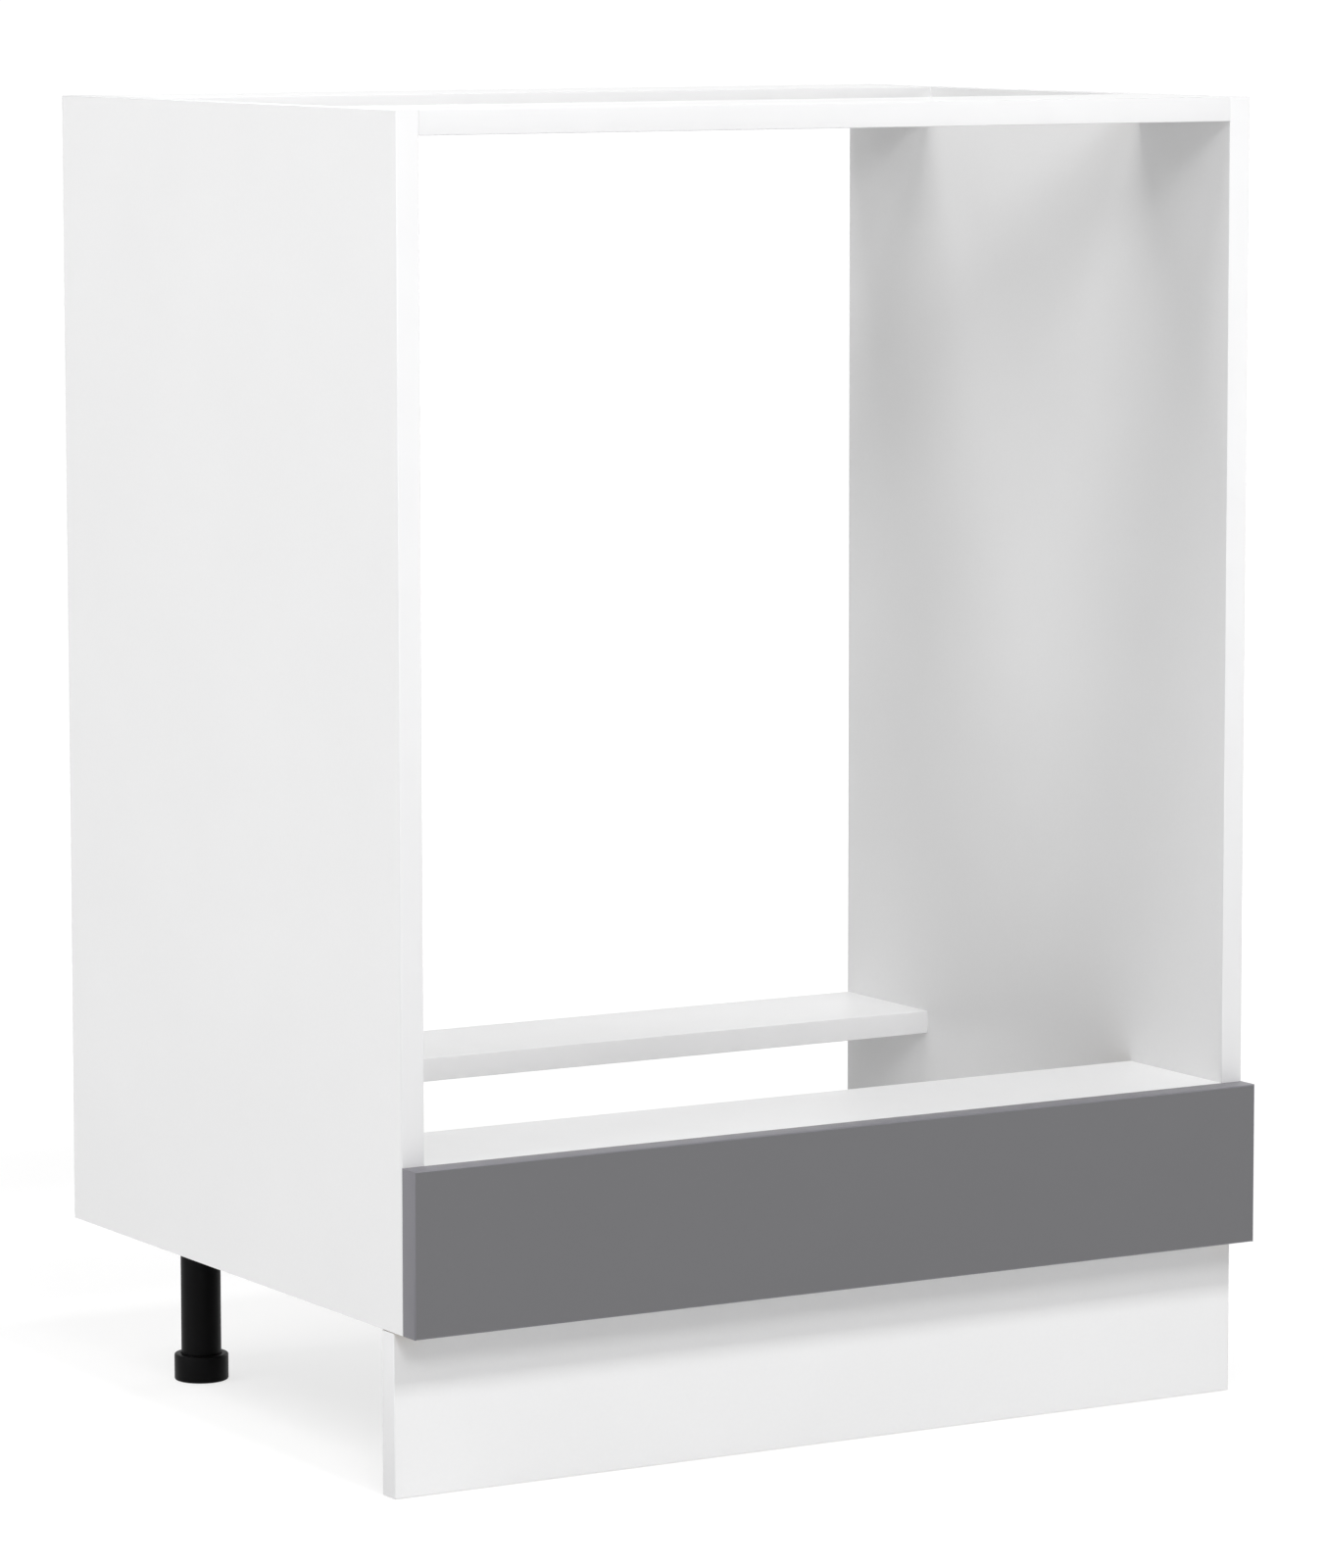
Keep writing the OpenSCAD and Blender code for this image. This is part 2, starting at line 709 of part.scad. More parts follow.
// Outline of a clip's ring and neck, with the tube's axis at the origin and the plinth below it
module clip_outline() {
    grip_r = tube_r + clip_clear;
    out_r = grip_r + clip_wall;
    base_top = clip_run - clip_plate_t - clip_base_t;
    difference() {
        union() {
            circle(r = out_r);
            translate([-clip_neck_w / 2, -base_top - clip_base_t / 2])
                square([clip_neck_w, base_top + clip_base_t / 2]);
        }
        circle(r = grip_r);
        polygon([
            [0, 0], [2 * out_r * sin(clip_open), 2 * out_r * cos(clip_open)],
            [-2 * out_r * sin(clip_open), 2 * out_r * cos(clip_open)]
        ]);
    }
    // Rolled lips that lead the tube in
    for (m = [-1, 1])
        rotate(-m * clip_open)
            translate([0, grip_r + clip_lip_out * clip_wall]) circle(d = clip_lip_round * clip_wall);
}

// Plinth clip: an open ring that springs over the leg tube, on a base that slides in its plate
module plinth_clip(sx) {
    half_h = clip_channel_h / 2 - clip_slide_clear;
    base_y = -clip_run + clip_plate_t;
    color(BLACK) translate([sx * leg_x, front_leg_y, clip_z]) {
        slab([-clip_base_w / 2, base_y, -half_h], [clip_base_w / 2, base_y + clip_base_t, half_h]);
        translate([0, 0, -clip_h / 2]) linear_extrude(clip_h) clip_outline();
    }
}

module plinth_clip_left() plinth_clip(-1);
module plinth_clip_right() plinth_clip(1);

module clip_plate_screws() {
    color(ZINC)
        for (sx = [-1, 1])
            at_clip(sx) at_clip_screws() translate([0, 0, clip_plate_t]) wood_screw();
}

side_panel_left();
side_panel_right();
bottom_panel();
top_front_rail();
top_rear_rail();
front_oven_rail();
rear_oven_rail();
fascia_panel();
plinth_panel();
side_bands_left();
side_bands_right();
top_front_rail_band();
top_rear_rail_band();
rear_oven_rail_band();
fascia_bands();
plinth_bands();
cam_locks();
cam_bolts();
dowels();
leg_socket_front_left();
leg_socket_front_right();
leg_socket_rear_left();
leg_socket_rear_right();
leg_socket_screws();
leg_tube_front_left();
leg_tube_front_right();
leg_tube_rear_left();
leg_tube_rear_right();
screw_foot_front_left();
screw_foot_front_right();
screw_foot_rear_left();
screw_foot_rear_right();
fascia_bracket_left();
fascia_bracket_right();
fascia_bracket_low_left();
fascia_bracket_low_right();
fascia_bracket_screws();
clip_plate_left();
clip_plate_right();
plinth_clip_left();
plinth_clip_right();
clip_plate_screws();
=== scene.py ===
import bmesh
import bpy
import numpy as np
from mathutils import Euler, Matrix, Vector


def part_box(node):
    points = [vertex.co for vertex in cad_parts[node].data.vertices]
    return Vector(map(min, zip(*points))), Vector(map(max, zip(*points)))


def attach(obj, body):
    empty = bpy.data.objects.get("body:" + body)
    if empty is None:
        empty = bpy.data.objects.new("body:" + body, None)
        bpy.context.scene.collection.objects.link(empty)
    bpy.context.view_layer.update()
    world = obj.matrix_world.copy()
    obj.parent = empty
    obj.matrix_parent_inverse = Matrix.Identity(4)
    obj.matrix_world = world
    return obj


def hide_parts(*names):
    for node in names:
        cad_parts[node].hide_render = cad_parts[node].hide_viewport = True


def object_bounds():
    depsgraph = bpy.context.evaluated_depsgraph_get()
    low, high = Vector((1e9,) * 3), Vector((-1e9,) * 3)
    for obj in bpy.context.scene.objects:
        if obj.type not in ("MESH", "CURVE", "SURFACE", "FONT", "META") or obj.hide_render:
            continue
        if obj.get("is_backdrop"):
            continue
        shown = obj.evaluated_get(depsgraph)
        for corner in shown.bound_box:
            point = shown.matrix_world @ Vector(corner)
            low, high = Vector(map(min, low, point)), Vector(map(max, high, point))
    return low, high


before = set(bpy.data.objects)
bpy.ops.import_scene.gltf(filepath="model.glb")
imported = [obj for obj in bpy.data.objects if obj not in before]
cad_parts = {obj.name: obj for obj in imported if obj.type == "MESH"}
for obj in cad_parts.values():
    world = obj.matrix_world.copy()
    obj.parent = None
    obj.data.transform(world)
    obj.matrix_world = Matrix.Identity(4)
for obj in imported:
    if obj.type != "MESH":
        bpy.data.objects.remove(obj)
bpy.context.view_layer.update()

mm = 0.001
weld = 0.001 * mm
white_film = (0.80, 0.80, 0.802, 1)


def put(tree, kind, settings=(), sockets=()):
    """A new shader node. Settings are its properties. Sockets are its inputs' values, or what joins them."""
    new = tree.nodes.new(kind)
    for key, value in dict(settings).items():
        setattr(new, key, value)
    for key, value in dict(sockets).items():
        if isinstance(value, bpy.types.NodeSocket):
            tree.links.new(value, new.inputs[key])
        else:
            new.inputs[key].default_value = value
    return new


def effect(name, inputs, outputs):
    """An empty node group with named sockets: its tree, its inputs and a function that joins its outputs."""
    tree = bpy.data.node_groups.new(name, "ShaderNodeTree")
    for label, kind in inputs:
        tree.interface.new_socket(label, in_out="INPUT", socket_type="NodeSocket" + kind)
    for label, kind in outputs:
        tree.interface.new_socket(label, in_out="OUTPUT", socket_type="NodeSocket" + kind)
    given = tree.nodes.new("NodeGroupInput").outputs
    result = tree.nodes.new("NodeGroupOutput").inputs

    def give(**ends):
        for label, socket in ends.items():
            tree.links.new(socket, result[label])

    return tree, given, give


def noise(tree, place, scale, detail=2.0, roughness=0.5):
    """The value of a noise texture of so many lumps a metre."""
    sockets = {"Vector": place, "Scale": scale, "Detail": detail, "Roughness": roughness}
    return put(tree, "ShaderNodeTexNoise", {}, sockets).outputs[0]


def span(tree, value, low, high, to_low, to_high, smooth=False):
    """A value between low and high mapped to the range from to_low to to_high, and held at its ends."""
    kind = {"interpolation_type": "SMOOTHSTEP" if smooth else "LINEAR"}
    sockets = {"Value": value, "From Min": low, "From Max": high, "To Min": to_low, "To Max": to_high}
    return put(tree, "ShaderNodeMapRange", kind, sockets).outputs[0]


def lumps(tree, value, to_low, to_high):
    """A noise mapped to the range from to_low to to_high. Nearly all of a noise lies between 0.3 and 0.7."""
    return span(tree, value, 0.3, 0.7, to_low, to_high)


def maths(tree, operation, *values):
    """The result of a maths node."""
    return put(tree, "ShaderNodeMath", {"operation": operation}, dict(enumerate(values))).outputs[0]


def blend_colour(tree, share, first, second):
    """Two colours mixed by a share."""
    settings = {"data_type": "RGBA", "blend_type": "MIX"}
    return put(tree, "ShaderNodeMix", settings, {0: share, 6: first, 7: second}).outputs[2]


def shade_colour(tree, colour, factor):
    """A colour made lighter or darker by a factor."""
    return put(tree, "ShaderNodeVectorMath", {"operation": "SCALE"}, {0: colour, "Scale": factor}).outputs[0]


def blend_value(tree, share, first, second):
    """Two values mixed by a share."""
    return put(tree, "ShaderNodeMix", {"data_type": "FLOAT"}, {0: share, 2: first, 3: second}).outputs[0]


def relief(tree, height, strength, distance, under=None):
    """A normal that tilts with a height, laid over another one where it is given."""
    sockets = {"Height": height, "Strength": strength, "Distance": distance}
    if under:
        sockets["Normal"] = under
    return put(tree, "ShaderNodeBump", {}, sockets).outputs[0]


def melamine_effect():
    """Pressed melamine film: cloudy print, and the fine pebbles that the press plate leaves."""
    cloud_scale, rub_scale, speck_scale, pebble_scale = 9.0, 26.0, 420.0, 1700.0
    darkest_cloud, darkest_speck = 0.985, 0.992
    speck_low, speck_high = 0.35, 0.65
    satin, matt, rubbed = 0.27, 0.35, 0.07
    inputs = [("Position", "Vector"), ("Colour", "Color")]
    outputs = [("Colour", "Color"), ("Roughness", "Float"), ("Height", "Float")]
    tree, given, give = effect("melamine_film", inputs, outputs)
    cloud = lumps(tree, noise(tree, given["Position"], cloud_scale, detail=4.0), darkest_cloud, 1.0)
    fine = noise(tree, given["Position"], speck_scale)
    speck = span(tree, fine, speck_low, speck_high, darkest_speck, 1.0)
    tone = shade_colour(tree, given["Colour"], maths(tree, "MULTIPLY", cloud, speck))
    pebbles = noise(tree, given["Position"], pebble_scale, detail=1.5, roughness=0.6)
    rub = noise(tree, given["Position"], rub_scale, detail=5.0, roughness=0.6)
    rough = maths(tree, "ADD", lumps(tree, pebbles, satin, matt), lumps(tree, rub, 0.0, rubbed))
    give(Colour=tone, Roughness=rough, Height=pebbles)
    return tree


def chipboard_effect():
    """Sawn chipboard: flat flakes along the board, coarse in the middle layer and fine under the film, with
    dark gaps. Local Z runs through the board's thickness. Cut is 0 on the film and 1 on the wood between.
    Sizes are lumps a metre along and through the board, with the chips' bend or the others' detail."""
    film_edge, wood_edge = 0.13 * mm, 0.2 * mm
    fine_layer, coarse_layer = 1.5 * mm, 4.0 * mm
    fine_chips, coarse_chips = (700.0, 2200.0, 1.1), (190.0, 1000.0, 1.3)
    fine_pores, coarse_pores = (900.0, 2600.0, 2.0), (320.0, 1150.0, 2.0)
    fibres = (420.0, 5200.0, 3.0)
    bend_scale = 1.7
    fibre_share = 0.42
    pore_low, pore_high = 0.33, 0.45
    pore_shade = 0.42
    chip_height = 0.6
    wood = (
        (0.0, (0.34, 0.225, 0.125, 1)),
        (0.35, (0.50, 0.36, 0.22, 1)),
        (0.7, (0.62, 0.475, 0.315, 1)),
        (1.0, (0.74, 0.60, 0.43, 1)),
    )
    inputs = [("Position", "Vector"), ("Half thickness", "Float")]
    outputs = [("Colour", "Color"), ("Height", "Float"), ("Cut", "Float")]
    tree, given, give = effect("chipboard_core", inputs, outputs)
    across = put(tree, "ShaderNodeSeparateXYZ", {}, {0: given["Position"]}).outputs["Z"]
    depth = maths(tree, "SUBTRACT", given["Half thickness"], maths(tree, "ABSOLUTE", across))
    cut = span(tree, depth, film_edge, wood_edge, 0.0, 1.0)
    layer = span(tree, depth, fine_layer, coarse_layer, 0.0, 1.0, smooth=True)

    def chips(along, through, bend):
        """Random greys of flat cells: long along the board, thin through it, and bent."""
        stretch = put(tree, "ShaderNodeMapping", {}, {0: given["Position"], "Scale": (along, along, through)})
        wave_sockets = {"Vector": stretch.outputs[0], "Scale": bend_scale, "Detail": 2.0}
        wave = put(tree, "ShaderNodeTexNoise", {}, wave_sockets)
        shift = shade_colour(tree, wave.outputs["Color"], bend)
        bent = put(tree, "ShaderNodeVectorMath", {"operation": "ADD"}, {0: stretch.outputs[0], 1: shift})
        cell = put(tree, "ShaderNodeTexVoronoi", {"feature": "F1"}, {"Vector": bent.outputs[0], "Scale": 1.0})
        return put(tree, "ShaderNodeSeparateColor", {}, {0: cell.outputs["Color"]}).outputs[0]

    def streaks(along, through, detail):
        """Stretched noise along the board."""
        stretch = put(tree, "ShaderNodeMapping", {}, {0: given["Position"], "Scale": (along, along, through)})
        return noise(tree, stretch.outputs[0], 1.0, detail)

    chip = blend_value(tree, layer, chips(*fine_chips), chips(*coarse_chips))
    fibre = streaks(*fibres)
    pores = blend_value(tree, layer, streaks(*fine_pores), streaks(*coarse_pores))
    pore = span(tree, pores, pore_low, pore_high, 0.0, 1.0)
    tint = blend_value(tree, fibre_share, chip, lumps(tree, fibre, 0.0, 1.0))
    ramp = put(tree, "ShaderNodeValToRGB", {}, {0: tint})
    for spare in range(len(wood) - 2):
        ramp.color_ramp.elements.new(0.5)
    for element, (place, colour) in zip(ramp.color_ramp.elements, wood):
        element.position = place
        element.color = colour
    face = shade_colour(tree, ramp.outputs[0], span(tree, pore, 0.0, 1.0, pore_shade, 1.0))
    height = maths(tree, "MULTIPLY", pore, span(tree, tint, 0.0, 1.0, chip_height, 1.0))
    give(Colour=face, Height=height, Cut=cut)
    return tree


melamine_film = melamine_effect()
chipboard_core = chipboard_effect()


def finish_of(name):
    """A new material: gives it, its tree, its Principled shader and the object's own coordinates."""
    material = bpy.data.materials.new(name)
    material.use_nodes = True
    tree = material.node_tree
    skin = tree.nodes["Principled BSDF"]
    place = tree.nodes.new("ShaderNodeTexCoord").outputs["Object"]
    return material, tree, skin, place


def use(tree, group, sockets):
    """Places a node group in a material."""
    return put(tree, "ShaderNodeGroup", {"node_tree": group}, sockets).outputs


def board_finish(name, colour, across, centre, half, gloss=0.5):
    """Coated chipboard whose thickness runs along an axis: film on its faces and flakes on its cut edges."""
    wood_roughness = 0.85
    film_bump, film_depth = 0.35, 0.01 * mm
    saw_bump, saw_depth = 0.8, 0.25 * mm
    material, tree, skin, place = finish_of(name)
    turn = Euler({"X": (0, -np.pi / 2, 0), "Y": (np.pi / 2, 0, 0), "Z": (0, 0, 0)}[across])
    shift = -(turn.to_matrix() @ Vector(centre))
    local = put(tree, "ShaderNodeMapping", {}, {0: place, "Location": shift, "Rotation": turn}).outputs[0]
    film = use(tree, melamine_film, {"Position": local, "Colour": colour})
    core = use(tree, chipboard_core, {"Position": local, "Half thickness": half})
    tree.links.new(blend_colour(tree, core["Cut"], film["Colour"], core["Colour"]), skin.inputs["Base Color"])
    rough = blend_value(tree, core["Cut"], film["Roughness"], wood_roughness)
    tree.links.new(rough, skin.inputs["Roughness"])
    pressed = relief(tree, film["Height"], film_bump, film_depth)
    flakes = maths(tree, "MULTIPLY", core["Height"], core["Cut"])
    sawn = relief(tree, flakes, saw_bump, saw_depth, pressed)
    tree.links.new(sawn, skin.inputs["Normal"])
    skin.inputs["Specular IOR Level"].default_value = gloss
    return material


def merged_copy(node, name, arris=0.0):
    """A copy of a CAD node as one closed mesh: its loose triangles are merged, and edges that turn by more
    than 40 degrees are sharp. Where an arris is given, triangles in one plane become one face, and a bevel
    rounds the arrises."""
    same_plane, sharp_turn = 0.002, np.radians(40)
    bevel_steps = 2
    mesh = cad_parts[node].data.copy()
    mesh.name = name
    mesh.materials.clear()
    solid = bmesh.new()
    solid.from_mesh(mesh)
    bmesh.ops.remove_doubles(solid, verts=solid.verts, dist=weld)
    if arris:
        bmesh.ops.dissolve_limit(solid, angle_limit=same_plane, verts=solid.verts, edges=solid.edges)
    solid.to_mesh(mesh)
    solid.free()
    stored_normals = mesh.attributes.get("custom_normal")
    if stored_normals:
        mesh.attributes.remove(stored_normals)
    mesh.shade_smooth()
    mesh.set_sharp_from_angle(angle=sharp_turn)
    piece = bpy.data.objects.new(name, mesh)
    bpy.context.scene.collection.objects.link(piece)
    if arris:
        rim = piece.modifiers.new("arris", "BEVEL")
        rim.width = arris
        rim.segments = bevel_steps
        rim.limit_method = "ANGLE"
        rim.angle_limit = sharp_turn
        rim.harden_normals = True
    return piece


def fit(piece, body, node, material):
    """Hands a finished piece to the frame: it moves with the body, stands for the node and has the slot."""
    piece.data.materials.clear()
    piece.data.materials.append(material)
    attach(piece, body)
    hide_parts(node)


def middle(node):
    """The middle of a node's box and half of its size, in metres."""
    low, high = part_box(node)
    return (low + high) / 2, (high - low) / 2


for side in ("left", "right"):
    centre, half = middle("side_panel_" + side)
    melamine = board_finish("white_side_" + side, white_film, "X", centre, half.x)
    panel = merged_copy("side_panel_" + side, side + "_side")
    fit(panel, "carcass", "side_panel_" + side, melamine)

# Edge bands of the sides: 0.8 mm white plastic strips, glued hot to the front and top edges.
# They are trimmed flush, and a scraper rounds their two outer arrises.
band_round = 0.5 * mm
band_share = 0.95
glue_arris = 0.05 * mm
end_curve = np.array([0, 0.3, 1])
arc_points = 7
white_band = (0.773, 0.773, 0.778, 1)


def strip(low, high, out, side, run, round_r=band_round):
    """Rings of one edge band between two corners. The section is a rectangle across the band, with quarter
    circles of the given radius on its outer arrises and a trace of one at the glue. It is carried straight
    along the run and drawn in a little at both ends."""
    across = 3 - out - run
    low, high = np.array(low), np.array(high)
    centre, half = (low + high) / 2, (high - low) / 2
    corners = [(1, 1), (-1, 1), (-1, -1), (1, -1)]
    section, facing = [], []
    for index, (over, outward) in enumerate(corners):
        radius = min(round_r, band_share * 2 * half[out]) if outward > 0 else glue_arris
        angle = np.pi / 2 * (index + np.linspace(0, 1, arc_points))
        normal = np.stack([np.cos(angle), np.sin(angle)], -1)
        pivot = np.array([over * (half[across] - radius), outward * (half[out] - radius)])
        section.append(pivot + radius * normal)
        facing.append(normal)
    section, facing = np.concatenate(section), np.concatenate(facing)
    ends = glue_arris * end_curve
    stations = np.concatenate([ends - half[run], half[run] - ends[::-1]])
    inset = np.concatenate([ends[::-1], ends])
    rings = np.empty((len(stations), len(section), 3))
    flat = section[None] - inset[:, None, None] * facing[None]
    rings[..., across] = centre[across] + flat[..., 0]
    rings[..., out] = centre[out] + side * flat[..., 1]
    rings[..., run] = centre[run] + stations[:, None]
    return rings


def skin_over(name, sheets, turn=35):
    """One mesh from sheets of rings. In each sheet (rings, points, xyz) a ring closes on itself, neighbouring
    rings are joined by quads, and the first and last rings are filled. The UV map holds the distance along
    the sheet and round its ring, in metres."""
    points, faces, uv = [], [], []
    start = 0
    for rings in sheets:
        n, m = rings.shape[:2]
        step = np.linalg.norm(np.diff(rings, axis=0), axis=-1).mean(1)
        along = np.concatenate([[0], np.cumsum(step)])
        girth = np.linalg.norm(np.roll(rings, -1, 1) - rings, axis=-1).max(0)
        around = np.concatenate([[0], np.cumsum(girth)])
        i, j = np.meshgrid(np.arange(n - 1), np.arange(m), indexing="ij")
        i, j = i.ravel(), j.ravel()
        over, beside = i + 1, (j + 1) % m
        quads = np.stack([i * m + j, i * m + beside, over * m + beside, over * m + j], -1) + start
        corner_u = np.stack([along[i], along[i], along[i + 1], along[i + 1]], -1)
        corner_v = np.stack([around[j], around[j + 1], around[j + 1], around[j]], -1)
        faces += quads.tolist()
        uv.append(np.stack([corner_u, corner_v], -1).reshape(-1, 2))
        faces.append(list(range(start + m - 1, start - 1, -1)))
        faces.append(list(range(start + (n - 1) * m, start + n * m)))
        uv.append(np.zeros((2 * m, 2)))
        points.append(rings.reshape(-1, 3))
        start += n * m
    mesh = bpy.data.meshes.new(name)
    mesh.from_pydata(np.concatenate(points).tolist(), [], faces)
    mesh.uv_layers.new(name="run").data.foreach_set("uv", np.concatenate(uv).astype(np.float32).ravel())
    solid = bmesh.new()
    solid.from_mesh(mesh)
    bmesh.ops.remove_doubles(solid, verts=solid.verts, dist=weld / 2)
    bmesh.ops.recalc_face_normals(solid, faces=solid.faces)
    solid.to_mesh(mesh)
    solid.free()
    mesh.shade_smooth()
    mesh.set_sharp_from_angle(angle=np.radians(turn))
    piece = bpy.data.objects.new(name, mesh)
    bpy.context.scene.collection.objects.link(piece)
    return piece


def moulded_effect():
    """Moulded or extruded plastic: faint clouds, a satin texture and shallow draw lines along the run."""
    cloud_scale, rub_scale, grain_scale = 40.0, 60.0, 2600.0
    line_scale = (12.0, 5200.0, 1.0)
    darkest_cloud = 0.985
    satin, matt, rubbed = 0.36, 0.48, 0.03
    inputs = [("Position", "Vector"), ("Run", "Vector"), ("Colour", "Color"), ("Lines", "Float")]
    outputs = [("Colour", "Color"), ("Roughness", "Float"), ("Height", "Float")]
    tree, given, give = effect("moulded_plastic", inputs, outputs)
    cloud = lumps(tree, noise(tree, given["Position"], cloud_scale, detail=3.0), darkest_cloud, 1.0)
    grain = noise(tree, given["Position"], grain_scale)
    drawn = put(tree, "ShaderNodeMapping", {}, {0: given["Run"], "Scale": line_scale})
    lines = maths(tree, "MULTIPLY", noise(tree, drawn.outputs[0], 1.0), given["Lines"])
    rub = lumps(tree, noise(tree, given["Position"], rub_scale, detail=4.0), -rubbed, rubbed)
    rough = maths(tree, "ADD", lumps(tree, grain, satin, matt), rub)
    tone = shade_colour(tree, given["Colour"], cloud)
    give(Colour=tone, Roughness=rough, Height=maths(tree, "ADD", grain, lines))
    return tree


moulded_plastic = moulded_effect()
texture_bump = 0.4


def plastic_finish(name, colour, lines=0.0, depth=0.012 * mm, gloss=0.4):
    """Plastic of one colour, with draw lines along the run where it was extruded."""
    material, tree, skin, place = finish_of(name)
    run = put(tree, "ShaderNodeUVMap", {"uv_map": "run"}).outputs[0]
    look = use(tree, moulded_plastic, {"Position": place, "Run": run, "Colour": colour, "Lines": lines})
    tree.links.new(look["Colour"], skin.inputs["Base Color"])
    tree.links.new(look["Roughness"], skin.inputs["Roughness"])
    tree.links.new(relief(tree, look["Height"], texture_bump, depth), skin.inputs["Normal"])
    skin.inputs["Specular IOR Level"].default_value = gloss
    return material


draw_lines = 0.6
white_strip = plastic_finish("white_edge_band", white_band, lines=draw_lines)
for side in ("left", "right"):
    low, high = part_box("side_bands_" + side)
    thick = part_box("side_panel_" + side)[0].y - low.y
    front = strip(low, (high.x, low.y + thick, high.z), out=1, side=-1, run=2)
    top = strip((low.x, low.y + thick, high.z - thick), high, out=2, side=1, run=1)
    bands = skin_over(side + "_side_edge_bands", [front, top])
    fit(bands, "carcass", "side_bands_" + side, white_strip)

# Bottom: the same white board, laid between the sides on their lower edges.
# It carries the four leg sockets from below, and cam bolts and dowels hold it.
centre, half = middle("bottom_panel")
melamine = board_finish("white_bottom", white_film, "Z", centre, half.z)
bottom = merged_copy("bottom_panel", "bottom")
fit(bottom, "carcass", "bottom_panel", melamine)

# Top rails: two white boards laid flat between the sides, flush with their tops.
# Each has two holes for the worktop's screws, and a band on the edge that faces the room.
# Oven rails: two more boards 100 mm above the bottom, which the oven stands on.
rails = {
    "top_front_rail": "top_front_rail_band",
    "top_rear_rail": "top_rear_rail_band",
    "front_oven_rail": None,
    "rear_oven_rail": "rear_oven_rail_band",
}
for node, band in rails.items():
    centre, half = middle(node)
    melamine = board_finish("white_" + node, white_film, "Z", centre, half.z)
    rail = merged_copy(node, node + "_board")
    fit(rail, "carcass", node, melamine)
    if band:
        low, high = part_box(band)
        edge = skin_over(band + "_strip", [strip(low, high, out=1, side=-1, run=0)])
        fit(edge, "carcass", band, white_strip)

# Dowels: turned beech pegs with straight flutes that let the glue rise past them.
# They sit half in a side panel and half in the end of a cross board. A peg's radius falls by a cosine
# wave round it, one wave a flute, which fades out in the chamfers at both ends.
flutes = 20
flute_points = 3 * flutes
flute_depth = 0.16 * mm
peg_chamfer = 1.0 * mm
chamfer_fall = np.array([1, 0.45, 0])
pale_beech = (0.66, 0.45, 0.27, 1)
dark_beech = (0.47, 0.29, 0.16, 1)
cross_axes = [(1, 2), (2, 0), (0, 1)]


def separate_solids(node):
    """The lowest and highest corners and the points of each separate solid in a CAD node. Every point takes
    the lowest number among the points that edges join it to, until nothing changes."""
    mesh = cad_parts[node].data.copy()
    solid = bmesh.new()
    solid.from_mesh(mesh)
    bmesh.ops.remove_doubles(solid, verts=solid.verts, dist=weld)
    solid.to_mesh(mesh)
    solid.free()
    place = np.empty((len(mesh.vertices), 3), np.float32)
    ends = np.empty((len(mesh.edges), 2), np.int32)
    mesh.vertices.foreach_get("co", place.ravel())
    mesh.edges.foreach_get("vertices", ends.ravel())
    bpy.data.meshes.remove(mesh)
    place = place.astype(float)
    group = np.arange(len(place))
    while True:
        lowest = np.minimum(group[ends[:, 0]], group[ends[:, 1]])
        before = group.copy()
        np.minimum.at(group, ends[:, 0], lowest)
        np.minimum.at(group, ends[:, 1], lowest)
        group = group[group]
        if (group == before).all():
            break
    found = [place[group == label] for label in np.unique(group)]
    return [(points.min(0), points.max(0), points) for points in found]


def along_axis(low, high, axis, radius, distance, shape, points):
    """Rings of a turned piece that lies along an axis. Radius and distance from its start are arrays, one
    value a ring; shape is taken off the radius and may change round each ring."""
    centre = (low + high) / 2
    angle = 2 * np.pi * np.arange(points) / points
    reach = radius[:, None] - shape
    first, second = cross_axes[axis]
    rings = np.empty((len(radius), points, 3))
    rings[..., axis] = low[axis] + distance[:, None]
    rings[..., first] = centre[first] + reach * np.cos(angle)
    rings[..., second] = centre[second] + reach * np.sin(angle)
    return rings


def beech_finish():
    """Turned beech: long pale pores and darker flecks along the peg."""
    fibre_scale = (60.0, 1500.0, 1500.0)
    fleck_low, fleck_high = 0.35, 0.7
    smooth_wood, rough_wood = 0.6, 0.8
    pore_bump, pore_depth = 0.5, 0.05 * mm
    material, tree, skin, place = finish_of("beech_peg")
    fibre = put(tree, "ShaderNodeMapping", {}, {0: place, "Scale": fibre_scale}).outputs[0]
    pores = noise(tree, fibre, 1.0, detail=3.0)
    share = span(tree, pores, fleck_low, fleck_high, 0.0, 1.0)
    tree.links.new(blend_colour(tree, share, pale_beech, dark_beech), skin.inputs["Base Color"])
    tree.links.new(lumps(tree, pores, smooth_wood, rough_wood), skin.inputs["Roughness"])
    tree.links.new(relief(tree, pores, pore_bump, pore_depth), skin.inputs["Normal"])
    return material


sheets = []
for low, high, points in separate_solids("dowels"):
    length, radius = high[0] - low[0], (high[2] - low[2]) / 2
    rise = np.linspace(0, 1, len(chamfer_fall))
    start = rise * peg_chamfer
    distance = np.concatenate([start, [length / 2], length - start[::-1]])
    reach = radius - np.concatenate([chamfer_fall, [0], chamfer_fall[::-1]]) * peg_chamfer
    angle = 2 * np.pi * np.arange(flute_points) / flute_points
    fade = np.concatenate([rise, [1], rise[::-1]])[:, None]
    groove = flute_depth * (0.5 - 0.5 * np.cos(flutes * angle)) * fade
    sheets.append(along_axis(low, high, 0, reach, distance, groove, flute_points))
pegs = skin_over("fluted_dowels", sheets, turn=60)
fit(pegs, "carcass", "dowels", beech_finish())

# Cam locks and cam bolts: zinc-plated castings and turned pins that draw each cross board to its side.
# The bolt is screwed into the side, its head reaches into the cam, and half a turn pulls it tight.
lock_round = 0.15 * mm
bolt_round = 0.1 * mm


